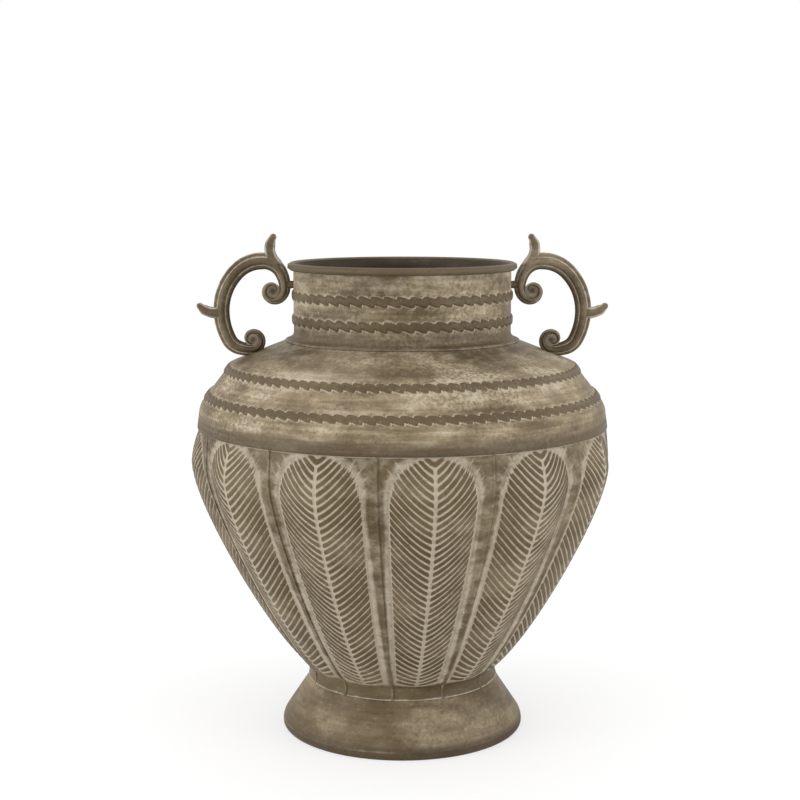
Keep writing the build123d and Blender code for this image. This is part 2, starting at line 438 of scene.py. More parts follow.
def placed(name, mesh, node, slot, *materials):
    """Smooth piece that stands for a node of the frame."""
    for material in materials:
        mesh.materials.append(material)
    mesh.shade_smooth()
    piece = bpy.data.objects.new(name, mesh)
    bpy.context.scene.collection.objects.link(piece)
    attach(piece, "root")
    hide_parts(node)
    return piece


def tone(red, green, blue):
    """Linear colour of a screen tone from 0 to 255."""
    parts = [channel / 255 for channel in (red, green, blue)]
    linear = [part / 12.92 if part <= 0.04045 else ((part + 0.055) / 1.055) ** 2.4 for part in parts]
    return (*linear, 1.0)


# Finishes
umber = tone(92, 76, 51)
dark_umber = tone(60, 46, 27)
wash_film = tone(170, 154, 127)
wash_pale = tone(187, 177, 158)
inside_brown = tone(52, 42, 26)
leaf_brown = tone(88, 73, 46)
leaf_pale = tone(179, 168, 148)
handle_brown = tone(88, 74, 54)
rim_brown = tone(98, 84, 62)
wire_grey = tone(84, 78, 72)
paint_shine = 0.25
bump_strength = 0.25
bump_height = 0.3
# The last layer darkens the paint: painted shade in places, plain darkening in others
all_layers = ("wash", "bare", "shade_and_darkening")
main_layers = ("wash", "shade_and_darkening")

# Grain of the paint: waves per metre, how many times wider than high, and detail
streak_grain = (15.0, 22.0, 3.0)
cloud_grain = (15.0, 2.4, 3.0)
patch_grain = (11.0, 1.0, 3.0)
blotch_grain = (95.0, 1.4, 4.0)
fine_grain = (420.0, 1.0, 3.0)
speck_grain = (330.0, 1.3, 1.0)
grain_roughness = 0.6

# Levels between which an effect sets in, then its strength at both of them where not 0 and 1
streak_levels = (0.25, 0.8)
cloud_levels = (0.28, 0.74)
uneven_levels = (0.3, 0.7, 0.88, 1.1)
spotted_levels = (0.4, 0.6, 0.3, 1.0)
speckle_levels = (0.36, 0.62, -0.5, 0.25)
ragged_levels = (0.3, 0.7, -0.18, 0.14)
hollow_levels = (0.1, 0.75)
grainy_levels = (0.25, 0.75, 0.8, 1.05)
fleck_levels = (0.62, 0.72, 0.0, 0.25)
thin_levels = (0.0, 0.9)
thick_levels = (0.5, 0.95, 0.0, 0.9)
dark_levels = (0.3, 0.7, 0.0, 0.45)
shade_and_darkening_levels = (0.3, 0.6, 0.35, 0.9)
pit_levels = (0.38, 0.29, 0.0, 0.35)
rough_levels = (0.0, 1.0, 0.5, 0.72)


def add_node(tree, kind, **settings):
    """New shader node with its own settings and socket values."""
    node = tree.nodes.new(kind)
    for name, value in settings.items():
        if name in node.inputs:
            node.inputs[name].default_value = value
        else:
            setattr(node, name, value)
    return node


def math_node(tree, operation, first, second):
    """Sum, product or the like of two sockets or values."""
    node = add_node(tree, "ShaderNodeMath", operation=operation)
    for socket, value in zip(node.inputs, (first, second)):
        if isinstance(value, (int, float)):
            socket.default_value = value
        else:
            tree.links.new(value, socket)
    return node.outputs["Value"]


def ranged(tree, value, low, high, start=0.0, end=1.0):
    """Smooth step of a socket between two levels."""
    span = {"From Min": low, "From Max": high, "To Min": start, "To Max": end}
    node = add_node(tree, "ShaderNodeMapRange", interpolation_type="SMOOTHSTEP", **span)
    tree.links.new(value, node.inputs["Value"])
    return node.outputs["Result"]


def noise(tree, vector, scale, flatness, detail):
    """Cloudy value in space, drawn out into level streaks where its flatness is more than 1."""
    mapping = add_node(tree, "ShaderNodeMapping", Scale=(scale, scale, scale * flatness))
    tree.links.new(vector, mapping.inputs["Vector"])
    cloud = add_node(tree, "ShaderNodeTexNoise", Scale=1.0, Detail=detail, Roughness=grain_roughness)
    tree.links.new(mapping.outputs["Vector"], cloud.inputs["Vector"])
    return cloud.outputs["Fac"]


def mixed(tree, share, first, second):
    """Colour between two colours or colour sockets."""
    node = add_node(tree, "ShaderNodeMix", data_type="RGBA")
    ends = (node.inputs[MIX_FIRST], node.inputs[MIX_SECOND])
    for socket, value in zip(ends, (first, second)):
        if isinstance(value, tuple):
            socket.default_value = value
        else:
            tree.links.new(value, socket)
    tree.links.new(share, node.inputs[MIX_SHARE])
    return node.outputs[MIX_COLOUR]


def wiped_wash_group():
    """Brown paint under a pale wash that was wiped off the raised parts."""
    tree = bpy.data.node_groups.new("wiped_wash", "ShaderNodeTree")
    for name in ("Wash", "Bare", "Shade_and_darkening", "Clouds", "Streaks", "Speckle"):
        tree.interface.new_socket(name, in_out="INPUT", socket_type="NodeSocketFloat")
    for name in ("Brown", "Pale"):
        tree.interface.new_socket(name, in_out="INPUT", socket_type="NodeSocketColor")
    tree.interface.new_socket("Color", in_out="OUTPUT", socket_type="NodeSocketColor")
    for name in ("Roughness", "Height"):
        tree.interface.new_socket(name, in_out="OUTPUT", socket_type="NodeSocketFloat")
    given = add_node(tree, "NodeGroupInput").outputs
    result = add_node(tree, "NodeGroupOutput").inputs
    place = add_node(tree, "ShaderNodeTexCoord").outputs["Object"]

    streaks = noise(tree, place, *streak_grain)
    clouds = noise(tree, place, *cloud_grain)
    patches = noise(tree, place, *patch_grain)
    blotches = noise(tree, place, *blotch_grain)
    grain = noise(tree, place, *fine_grain)
    specks = noise(tree, place, *speck_grain)

    # Film that is left everywhere, less where the wash was rubbed off
    lined = math_node(tree, "MULTIPLY", ranged(tree, streaks, *streak_levels), given["Streaks"])
    cloudy = math_node(tree, "MULTIPLY", ranged(tree, clouds, *cloud_levels), given["Clouds"])
    film = math_node(tree, "ADD", lined, cloudy)
    film = math_node(tree, "MULTIPLY", film, ranged(tree, blotches, *uneven_levels))
    spotted = math_node(tree, "MULTIPLY", ranged(tree, patches, *spotted_levels), given["Speckle"])
    speckle = math_node(tree, "MULTIPLY", ranged(tree, grain, *speckle_levels), spotted)
    film = math_node(tree, "MULTIPLY", film, math_node(tree, "ADD", speckle, 1.0))
    film = math_node(tree, "MULTIPLY", film, math_node(tree, "SUBTRACT", 1.0, given["Bare"]))

    # Thick wash with ragged edges in the hollows
    ragged = math_node(tree, "ADD", given["Wash"], ranged(tree, blotches, *ragged_levels))
    hollow = ranged(tree, ragged, *hollow_levels)
    hollow = math_node(tree, "MULTIPLY", hollow, ranged(tree, grain, *grainy_levels))
    flecks = math_node(tree, "MULTIPLY", ranged(tree, specks, *fleck_levels), given["Clouds"])
    thin = ranged(tree, math_node(tree, "ADD", film, flecks), *thin_levels)
    thick = math_node(tree, "MAXIMUM", hollow, ranged(tree, film, *thick_levels))
    cover = math_node(tree, "MAXIMUM", thin, thick)

    # Colours one over the other: brown, film, thick wash, darkening that is partly painted shade, and
    # pits
    brown = mixed(tree, ranged(tree, patches, *dark_levels), given["Brown"], dark_umber)
    washed = mixed(tree, thick, mixed(tree, thin, brown, wash_film), given["Pale"])
    # Darkening from the vertex layer, painted shade in places, broken up by the clouds
    shaded_and_darkened = math_node(tree, "MULTIPLY", given["Shade_and_darkening"], ranged(tree, clouds, *shade_and_darkening_levels))
    washed = mixed(tree, shaded_and_darkened, washed, dark_umber)
    pits = ranged(tree, specks, *pit_levels)
    tree.links.new(mixed(tree, pits, washed, dark_umber), result["Color"])
    tree.links.new(ranged(tree, cover, *rough_levels), result["Roughness"])
    tree.links.new(grain, result["Height"])
    return tree


wiped_wash = wiped_wash_group()


def painted(name, clouds, streaks, speckle=0.4, brown=umber, pale=wash_pale, layers=all_layers):
    """Paint finish: how cloudy, streaky and speckled its wash is, and which vertex layers it reads."""
    material = bpy.data.materials.new(name)
    material.use_nodes = True
    tree = material.node_tree
    shader = tree.nodes["Principled BSDF"]
    given = {"Clouds": clouds, "Streaks": streaks, "Speckle": speckle, "Brown": brown, "Pale": pale}
    wash = add_node(tree, "ShaderNodeGroup", node_tree=wiped_wash, **given)
    for layer in layers:
        amount = add_node(tree, "ShaderNodeAttribute", attribute_name=layer)
        tree.links.new(amount.outputs["Fac"], wash.inputs[layer.capitalize()])
    shader.inputs["Specular IOR Level"].default_value = paint_shine
    bump = add_node(tree, "ShaderNodeBump", Strength=bump_strength, Distance=bump_height * MM)
    tree.links.new(wash.outputs["Height"], bump.inputs["Height"])
    tree.links.new(wash.outputs["Color"], shader.inputs["Base Color"])
    tree.links.new(wash.outputs["Roughness"], shader.inputs["Roughness"])
    tree.links.new(bump.outputs["Normal"], shader.inputs["Normal"])
    return material


leaf_paint = painted(
    "leaf_paint", clouds=0.32, streaks=0.04, brown=leaf_brown, pale=leaf_pale, layers=main_layers
)
shoulder_paint = painted("shoulder_paint", clouds=0.64, streaks=0.31, speckle=0.7)
neck_paint = painted("neck_paint", clouds=0.63, streaks=0.32, speckle=0.7)
foot_paint = painted("foot_paint", clouds=0.47, streaks=0.15, speckle=0.3, layers=main_layers)
handle_paint = painted(
    "handle_paint", clouds=0.36, streaks=0.05, brown=handle_brown, layers=main_layers
)
lug_paint = painted("lug_paint", clouds=0.30, streaks=0.05, layers=())
rim_paint = painted("rim_paint", clouds=0.12, streaks=0.05, brown=rim_brown, layers=())
inside_paint = painted("inside_paint", clouds=0.15, streaks=0.05, brown=inside_brown, layers=())
bare_wire = painted("bare_wire", clouds=0.0, streaks=0.0, brown=wire_grey, layers=())


def paint_layers(bm, names):
    """Vertex layers that the paint reads: wash kept, wash rubbed off, or darkening that is partly
    painted shade.
    """
    return [bm.verts.layers.float.new(name) for name in names]


# Leaf panel: its profile up the ridge between two leaves
waist_middle = (
    base_radius + waist_round * math.cos(flank_lean),
    base_height - waist_round * math.sin(flank_lean),
)
tab_run = foot_radius - waist_middle[0]
tab_drop = waist_middle[1] - foot_corner
tab_reach = math.hypot(tab_run, tab_drop)
tab_standoff = waist_round + lap_step + sheet / 2
foot_lean = math.atan2(tab_run, tab_drop) + math.asin(tab_standoff / tab_reach)


def flank_point(share):
    """Point of the curve from the base to the belly."""
    base = Vector((base_radius, base_height))
    pulls = (
        base,
        base + flank_lower_pull * Vector((math.sin(flank_lean), math.cos(flank_lean))),
        Vector((belly_radius, belly_height - flank_upper_pull)),
        Vector((belly_radius, belly_height)),
    )
    rest = 1 - share
    weights = (rest**3, 3 * rest**2 * share, 3 * rest * share**2, share**3)
    return tuple(sum((pull * weight for pull, weight in zip(pulls, weights)), Vector((0, 0))))


def panel_profile():
    """Points up the ridge with their way along it, 0 at the base of the leaf."""
    tab_turn = math.degrees(flank_lean + foot_lean)
    flank_start = 180 - math.degrees(flank_lean)
    tab = arc(waist_middle, waist_round, flank_start + tab_turn, -tab_turn, profile_bend_steps)
    flank = [flank_point(step / profile_steps) for step in range(profile_steps + 1)]
    sag = belly_radius - lip_radius
    rise = seam_height - belly_height
    hip_radius = (sag * sag + rise * rise) / (2 * sag)
    hip_turn = math.degrees(math.asin(rise / hip_radius))
    hip = arc((belly_radius - hip_radius, belly_height), hip_radius, 0, hip_turn, profile_bend_steps)
    lip_top = (lip_radius - lip_height * lip_lean, seam_height + lip_height)
    line = joined(tab, flank, hip, straight(hip[-1], lip_top, lip_steps))
    ways = [0.0]
    for before, after in zip(line, line[1:]):
        ways.append(ways[-1] + math.dist(before, after))
    start = ways[len(tab) - 1]
    return line, [way - start for way in ways]


profile_line, profile_ways = panel_profile()
tab_end_way = profile_ways[0]
lip_top_way = profile_ways[-1]


def ridge_point(way):
    """Radius and height of the ridge at a way along it."""
    index = min(max(bisect_right(profile_ways, way), 1), len(profile_ways) - 1)
    low, high = profile_ways[index - 1], profile_ways[index]
    share = (way - low) / (high - low)
    before, after = profile_line[index - 1], profile_line[index]
    return before[0] + (after[0] - before[0]) * share, before[1] + (after[1] - before[1]) * share


skirt_edge = seam_height + skirt_lift
seam_way = next(way for way, point in zip(profile_ways, profile_line) if point[1] >= skirt_edge)
arch_radius = belly_radius * half_panel - leaf_top_margin
arch_height = seam_height + leaf_tip_rise - arch_radius
swell_peak_share = (leaf_fullness / (leaf_fullness + lobe_fade)) ** (1 / lobe_fade)
swell_peak = swell_peak_share**leaf_fullness * (1 - swell_peak_share**lobe_fade)


def leaf_share(height):
    """How far up the leaf a height is, 0 at its base and 1 at the seam."""
    return min(max((height - base_height) / (seam_height - base_height), 0.0), 1.0)


def side_width(radius, height):
    """Half width of the leaf between its straight side borders."""
    fullness = leaf_share(height) ** leaf_fullness
    margin = leaf_base_margin + (leaf_top_margin - leaf_base_margin) * fullness
    return radius * half_panel - margin


def border_width(radius, height):
    """Half width of the leaf where its arched tip narrows it."""
    up = max(min(height, seam_height) - arch_height, 0.0)
    return min(side_width(radius, height), math.sqrt(arch_radius**2 - up * up))


def panel_radius(angle, ridge, height):
    """Distance of the pressed face from the axis at an angle off the middle of the panel."""
    angle = abs(angle)
    if angle > half_panel:
        angle = 2 * half_panel - angle
    share = leaf_share(height)
    swell = share**leaf_fullness * (1 - share**lobe_fade) / swell_peak
    crown = ridge + lobe_height * swell
    crease = ridge - crease_depth * swell
    border = border_width(ridge, height) / ridge
    if angle > border:
        way = (angle - border) / (half_panel - border)
        return crease + (ridge - crease) * (2 * way - way * way)
    middle = (crown * crown - crease * crease) / (2 * (crown - crease * math.cos(border)))
    reach = (crown - middle) ** 2 - (middle * math.sin(angle)) ** 2
    return middle * math.cos(angle) + math.sqrt(max(reach, 0.0))


def panel_point(angle, way):
    """Point of the pressed face."""
    ridge, height = ridge_point(way)
    radius = panel_radius(angle, ridge, height)
    return Vector((radius * math.cos(angle), radius * math.sin(angle), height))


# Columns of a half panel, from the midrib over the leaf and its border to the seam
midrib_steps = (0.0, 0.55, 0.95, 1.35, 2.0)
blade_columns = 22
border_steps = (-1.0, -0.6, -0.25, 0.1, 0.5, 1.0)
strip_columns = 7
lap_columns = 3
half_columns = (
    [("midrib", step) for step in midrib_steps]
    + [("blade", step / blade_columns) for step in range(1, blade_columns)]
    + [("border", step) for step in border_steps]
    + [("strip", step / strip_columns) for step in range(1, strip_columns + 1)]
)
panel_columns = (
    [(kind, amount, -1) for kind, amount in half_columns[:0:-1]]
    + [(kind, amount, 1) for kind, amount in half_columns]
    + [("lap", step / lap_columns, 1) for step in range(1, lap_columns + 1)]
)

# Rows of a panel: the tab, the leaf with its veins, and the lip
rows_per_vein = 8
tab_rows = 14
lip_rows = 3
vein_crowding = 1 / vein_base_pitch - 1 / vein_pitch


def vein_number(way):
    """How many veins leave the midrib below a way up the leaf."""
    return way / vein_pitch + vein_crowding * vein_base_ramp * (1 - math.exp(-way / vein_base_ramp))


def vein_spacing(way):
    """Distance between two veins along the midrib."""
    return 1 / (1 / vein_pitch + vein_crowding * math.exp(-way / vein_base_ramp))


def vein_start(number):
    """Way up the leaf where a vein leaves the midrib."""
    way = number * vein_pitch
    for _ in range(vein_tries):
        way += (number - vein_number(way)) * vein_spacing(way)
    return way


vein_rows = int(vein_number(seam_way) * rows_per_vein)
lip_length = lip_top_way - seam_way
panel_rows = (
    [("tab", tab_end_way * (1 - row / tab_rows), 0.0) for row in range(tab_rows)]
    + [("leaf", vein_start(row / rows_per_vein), row / rows_per_vein) for row in range(vein_rows)]
    + [("leaf", seam_way, vein_number(seam_way))]
    + [("lip", seam_way + lip_length * row / lip_rows, 0.0) for row in range(1, lip_rows + 1)]
)


def midrib_width(height):
    """Half width of the midrib groove."""
    return midrib_base + (midrib_top - midrib_base) * leaf_share(height)


def column_offset(kind, amount, ridge, height):
    """Distance of a column from the midrib along the face."""
    midrib = midrib_width(height)
    side = side_width(ridge, height)
    seam = ridge * half_panel
    blade_start = midrib * midrib_steps[-1]
    blade_room = (side - blade_start) / border_blade_part
    strip_room = (seam - side) * border_strip_share
    reach = min(border_reach, blade_room, strip_room)
    if kind == "midrib":
        return midrib * amount
    if kind == "blade":
        return blade_start + (side - reach - blade_start) * amount
    if kind == "border":
        return side + reach * amount
    if kind == "strip":
        return side + reach + (seam - side - reach) * amount
    return seam + seam_lap * amount


def vein_rise(way):
    """How far a vein climbs between the midrib and the border."""
    climb = base_rise + (full_rise - base_rise) * (1 - math.exp(-way / rise_ramp))
    near_tip = smooth(seam_way - tip_rise_start, seam_way - tip_rise_end, way)
    return climb + (tip_rise - full_rise) * near_tip


def row_way(kind, start, share):
    """Way up the panel of a row, which follows a vein from the midrib outwards."""
    if kind != "leaf":
        return start
    share = min(share, 1.0)
    climb = vein_rise(start) * share**vein_bend
    room = vein_room * (seam_way - start)
    return start + soft_min(climb, room, vein_ease * room + least_ease)


def beside_leaf(out, height, way):
    """Depth and wash on the strip outside a leaf's border: a smear of wash and short slanting ticks."""
    strip = smooth(*border_bank, out)
    line = 1 - smooth(*border_line, out)
    smear_reach = smear_low + (smear_high - smear_low) * smooth(*smear_narrows, height)
    smear_reach += (smear_top - smear_high) * smooth(*smear_widens, height)
    strength = smear_wash - smear_loss * smooth(*smear_thins, height)
    smear = smear_film + strength * (1 - smooth(*smear_edge, out / smear_reach))
    reach = tick_reach + tick_growth * smooth(*tick_grows, height)
    fade = smooth(*tick_starts, height) * (1 - smooth(tick_core * reach, reach, out))
    beat = abs((way - tick_lean * out) / tick_pitch % 1 - 0.5)
    tick = fade * (1 - smooth(*tick_stroke, beat))
    return groove_depth * (1 - strip) + tick_depth * tick, max(line, smear, tick_wash * tick)


def leaf_relief(offset, height, way, start, phase):
    """Depth below the face and amount of wash at a place on the leaf or beside it."""
    ridge, _ = ridge_point(way)
    side = side_width(ridge, height)
    inside = side - offset
    if height > arch_height:
        inside = min(inside, arch_radius - math.hypot(offset, height - arch_height))
    under_dome = dome_edge_wash * (1 - smooth(*edge_line, skirt_edge - height))
    if inside < 0:
        depth, paint = beside_leaf(-inside, height, way)
        return depth, max(paint, under_dome)
    groove = vein_inner_groove + (vein_outer_groove - vein_inner_groove) * offset / side
    across_vein = abs(phase - round(phase)) * vein_spacing(start) * vein_slope - groove
    closing = midrib_closing * smooth(midrib_stop, midrib_stop - midrib_taper, seam_way - way)
    across_midrib = offset - midrib_width(height) + closing
    level = soft_min(across_vein, across_midrib, bar_round)
    level = soft_min(level, inside - border_groove, bar_round)
    level = soft_min(level, way - leaf_foot, bar_round)
    paint = 1 - smooth(*groove_line, level)
    return groove_depth * (1 - smooth(*groove_bank, level)), max(paint, under_dome)


def leaf_vertex(column, row):
    """Place, wash and painted seam shade of one crossing of a column and a row of the panel."""
    kind, amount, side = column
    row_kind, start, phase = row
    ridge, height = ridge_point(start)
    share = column_offset(kind, amount, ridge, height) / side_width(ridge, height)
    way = row_way(row_kind, start, share)
    ridge, height = ridge_point(way)
    offset = column_offset(kind, amount, ridge, height)
    depth, paint, shade = 0.0, 0.0, 0.0
    if row_kind == "leaf":
        depth, paint = leaf_relief(offset, height, way, start, phase)
    if row_kind == "tab":
        paint = tab_edge_wash * (1 - smooth(*edge_line, way - tab_end_way))
    angle = side * offset / ridge
    # Painted shade on the panel just beyond the edge of its neighbour's lap
    if side < 0:
        beside_lap = abs(ridge * half_panel - offset - seam_lap - seam_shade_offset)
        shade = seam_shade * (1 - smooth(*seam_shade_fade, beside_lap))
    if kind == "lap":
        depth -= seam_lift * smooth(0, lap_rise, amount) * smooth(0, lap_ramp, abs(way))
        paint = lap_wash
    point = panel_point(angle, way)
    across = panel_point(angle + probe_angle, way) - panel_point(angle - probe_angle, way)
    upward = panel_point(angle, way + probe_way) - panel_point(angle, way - probe_way)
    normal = across.cross(upward).normalized()
    return (point - normal * depth) * MM, paint, shade


def leaf_panel_mesh():
    """Mesh of one leaf panel, its middle on +X."""
    bm = bmesh.new()
    wide, tall = len(panel_columns) - 1, len(panel_rows) - 1
    bmesh.ops.create_grid(bm, x_segments=wide, y_segments=tall, size=GRID_HALF)
    wash, shade_and_darkening = paint_layers(bm, main_layers)
    for vert in bm.verts:
        column = panel_columns[round((vert.co.x + GRID_HALF) * wide)]
        row = panel_rows[round((vert.co.y + GRID_HALF) * tall)]
        vert.co, vert[wash], vert[shade_and_darkening] = leaf_vertex(column, row)
    bmesh.ops.recalc_face_normals(bm, faces=bm.faces)
    return meshed("leaf_panel", bm)


def add_leaf_panels():
    """Twelve pressed panels round the body, each a thin sheet lapped over the next."""
    master = leaf_panel_mesh()
    for index in range(panel_count):
        mesh = master.copy()
        mesh.transform(Matrix.Rotation(panel_turn + 2 * half_panel * index, 4, "Z"))
        name = f"pressed_leaf_{index + 1:02d}"
        node = f"leaf_panel_{index + 1:02d}"
        piece = placed(name, mesh, node, "leaf_sheet", leaf_paint, inside_paint)
        wall = piece.modifiers.new("wall", "SOLIDIFY")
        wall.thickness = panel_wall * MM
        wall.offset = -1
        wall.material_offset = 1
    bpy.data.meshes.remove(master)


def rope(across, angle, lobes):
    """Height, wash and bareness of a rope bead at a place across it, 1 at its nominal edge."""
    share = (lobes * angle / math.tau + rope_twist * across) % 1
    lobe = math.sin(math.pi * share ** (rope_top_lean if across > 0 else rope_foot_lean))
    edge = rope_edge - rope_scallop * (1 - lobe**rope_fullness)
    reach = abs(across) / edge
    hump = max(1 - reach**rope_squareness, 0.0)
    dip = (1 - smooth(*notch_floor, lobe)) * smooth(*notch_side, abs(across))
    height = bead_swell * hump * (1 - rope_notch * dip)
    notch = 1 - smooth(*notch_paint, lobe)
    wash = smooth(*rope_wash_start, reach) * (1 - smooth(*rope_wash_end, reach))
    wash *= rope_wash + (notch_top_wash if across > 0 else notch_foot_wash) * notch
    return height, wash, rope_bare * (1 - smooth(*rope_bare_end, reach))


def press_beads(vert, layers, way, beads, lobes, outward):
    """Raise the rope beads at a vertex and paint them, outward being the face's way out and up."""
    wash, bare = layers
    angle = math.atan2(vert.co.y, vert.co.x)
    out = Vector((vert.co.x, vert.co.y, 0)).normalized() * outward[0]
    for bead in beads:
        across = (way - bead) / (bead_width / 2)
        if abs(across) < rope_span:
            swell, paint, rubbed = rope(across, angle, lobes)
            vert.co += (out + Vector((0, 0, outward[1]))) * swell * MM
            vert[wash] = max(vert[wash] * (1 - rubbed), paint)
            vert[bare] = max(vert[bare], rubbed)


def dark_inside(bm, outward, inner_radius):
    """Second paint on the faces that look inwards, and on all that lies within a radius."""
    for face in bm.faces:
        middle = face.calc_center_median()
        out = Vector((middle.x, middle.y)).normalized()
        facing = face.normal.xy.dot(out) * outward[0] + face.normal.z * outward[1]
        if facing < inward_facing or math.hypot(middle.x, middle.y) < inner_radius * MM:
            face.material_index = 1


def bead_line(point_at, middle):
    """Even points across a bead, a little beyond both of its edges."""
    half = bead_width / 2 * bead_reach
    return [point_at(middle - half + 2 * half * row / (bead_rows - 1)) for row in range(bead_rows)]


def crown_line(radius):
    """Height of the crown at a radius."""
    return crown_height + (crown_radius - radius) * crown_slope


cone_length = math.dist((shoulder_radius, shoulder_height), (crown_radius, crown_height))
cone_in = (shoulder_radius - crown_radius) / cone_length
cone_up = (crown_height - shoulder_height) / cone_length
crown_bead = cone_length - bead_width / 2


def cone_point(way):
    """Point of the shoulder cone at a way up it."""
    return (shoulder_radius - way * cone_in, shoulder_height + way * cone_up)


def add_shoulder_dome():
    """Skirt over the panel tops, cone with two rope beads, crown and the spigot under the neck."""
    outward = (cone_up, cone_in)
    spigot_radius = neck_radius - lap_step
    lower = bead_line(cone_point, shoulder_bead)
    upper = bead_line(cone_point, crown_bead)
    hip = (shoulder_radius, shoulder_height)
    skirt = rounded((seam_radius, skirt_edge), hip, lower[0], shoulder_round, shoulder_bend_steps)
    skirt = joined(straight(skirt[0], skirt[1], skirt_rows), skirt[1:])
    cone = straight(lower[-1], upper[0], cone_rows)
    crown = rounded(
        upper[-1],
        (spigot_radius, crown_line(spigot_radius)),
        (spigot_radius, crown_line(spigot_radius) + spigot_height),
        neck_round + lap_step,
        crown_bend_steps,
    )
    line = joined(skirt, lower, cone, upper, crown)
    bm = spun(thick_outline(line, dome_inner_stride), dome_sectors, dome_steps)
    wash, bare, shade_and_darkening = paint_layers(bm, all_layers)
    for vert in bm.verts:
        radius = math.hypot(vert.co.x, vert.co.y) / MM
        height = vert.co.z / MM
        way = (shoulder_radius - radius) * cone_in + (height - shoulder_height) * cone_up
        lift = (radius - shoulder_radius) * cone_up + (height - shoulder_height) * cone_in
        # Darker along the lower edge of the skirt
        vert[shade_and_darkening] = skirt_edge_darkening * (1 - smooth(*skirt_edge_darkening_fade, height - skirt_edge))
        on_crown = smooth(crown_height + bead_swell, crown_height + crown_ramp, height)
        vert[bare] = crown_bare * on_crown
        vert[wash] = crown_wash * on_crown
        if lift > 0 and way > 0 and height < crown_height + bead_swell:
            press_beads(vert, (wash, bare), way, (shoulder_bead, crown_bead), dome_lobes, outward)
    dark_inside(bm, outward, neck_radius)
    mesh = meshed("spun_shoulder", bm)
    placed("spun_shoulder", mesh, "shoulder_dome", "shoulder_sheet", shoulder_paint, inside_paint)


def neck_point(height):
    """Point of the neck's upright wall at a height."""
    return (neck_radius, height)


def add_neck_collar():
    """Flare on the crown, wall with two rope beads, and a rim curled outwards."""
    crown_step = lap_step * math.hypot(1, crown_slope)
    base = crown_line(neck_radius) + crown_step
    flare_radius = neck_radius + neck_flare
    curl_height = base + neck_height - rim_bend - sheet / 2
    beads = (base + lower_neck_bead, base + upper_neck_bead)
    finishes = (neck_paint, rim_paint, inside_paint)

    lower, upper = (bead_line(neck_point, bead) for bead in beads)
    flare_edge = (flare_radius, crown_line(flare_radius) + crown_step)
    flare = rounded(flare_edge, neck_point(base), lower[0], neck_round, flare_bend_steps)
    curl = arc((neck_radius + rim_bend, curl_height), rim_bend, 180, -rim_turn, rim_steps)
    wall = straight(lower[-1], upper[0], neck_wall_rows)
    wall_top = straight(upper[-1], curl[0], neck_top_rows)
    line = joined(flare, lower, wall, upper, wall_top, curl)
    bm = spun(thick_outline(line, neck_inner_stride), neck_sectors, neck_steps)
    wash, bare, shade_and_darkening = paint_layers(bm, all_layers)
    for vert in bm.verts:
        radius = math.hypot(vert.co.x, vert.co.y) / MM
        height = vert.co.z / MM
        vert[wash] = flare_wash * (1 - smooth(*flare_wash_fade, height - flare_edge[1]))
        # Darker at the foot of the neck, fading upwards
        vert[shade_and_darkening] = flare_darkening * (1 - smooth(*flare_darkening_fade, height - base))
        if not neck_radius < radius < neck_radius + sheet:
            continue
        near_rim = smooth(beads[1] + neck_top_start, curl_height - neck_top_end, height)
        vert[wash] = max(vert[wash], neck_wash + neck_top_wash * near_rim)
        press_beads(vert, (wash, bare), height, beads, neck_lobes, (1, 0))
    for face in bm.faces:
        middle = face.calc_center_median()
        if math.hypot(middle.x, middle.y) < neck_radius * MM:
            face.material_index = finishes.index(inside_paint)
        elif middle.z > (curl_height - rim_bend - sheet) * MM:
            face.material_index = finishes.index(rim_paint)
    mesh = meshed("rolled_neck", bm)
    placed("rolled_neck", mesh, "neck_collar", "neck_sheet", *finishes)


def add_foot_skirt():
    """Cone under the leaf tabs that turns down into a hem rolled inwards."""
    hem_height = hem_bend + sheet / 2 - rest_flat
    foot_length = math.sqrt(tab_reach**2 - tab_standoff**2) + foot_tuck
    top = (
        foot_radius - foot_length * math.sin(foot_lean),
        foot_corner + foot_length * math.cos(foot_lean),
    )
    corner = (foot_radius, foot_corner)
    cone = rounded((foot_radius, hem_height), corner, top, foot_round, foot_bend_steps)
    cone = joined(cone[:-1], straight(cone[-2], cone[-1], foot_rows))
    hem = arc((foot_radius - hem_bend, hem_height), hem_bend, -hem_turn, hem_turn, hem_steps)
    bm = spun(thick_outline(joined(hem, cone), foot_inner_stride), foot_sectors, foot_steps)
    wash, shade_and_darkening = paint_layers(bm, main_layers)
    for vert in bm.verts:
        vert.co.z = max(vert.co.z, 0)
        height = vert.co.z / MM
        above_hem = height - hem_height
        vert[wash] = hem_line_wash * (1 - smooth(*hem_line_fade, abs(above_hem - hem_line_rise)))
        # Darker towards the bottom, at the hem and just above it
        vert[shade_and_darkening] = 1 - smooth(*hem_darkening_fade, above_hem)
    dark_inside(bm, (1, 0), top[0])
    mesh = meshed("foot_cone", bm)
    placed("foot_cone", mesh, "foot_skirt", "foot_sheet", foot_paint, inside_paint)


# Scroll handles
neck_face = neck_radius + sheet / 2
bow_reach = neck_face + bow_offset
bow_height = crown_line(neck_face + seat_offset) + bow_lift


def off_bow(offset):
    """Point of the handle measured from the outermost point of its bow."""
    return Vector((bow_reach + offset[0], bow_height + offset[1]))


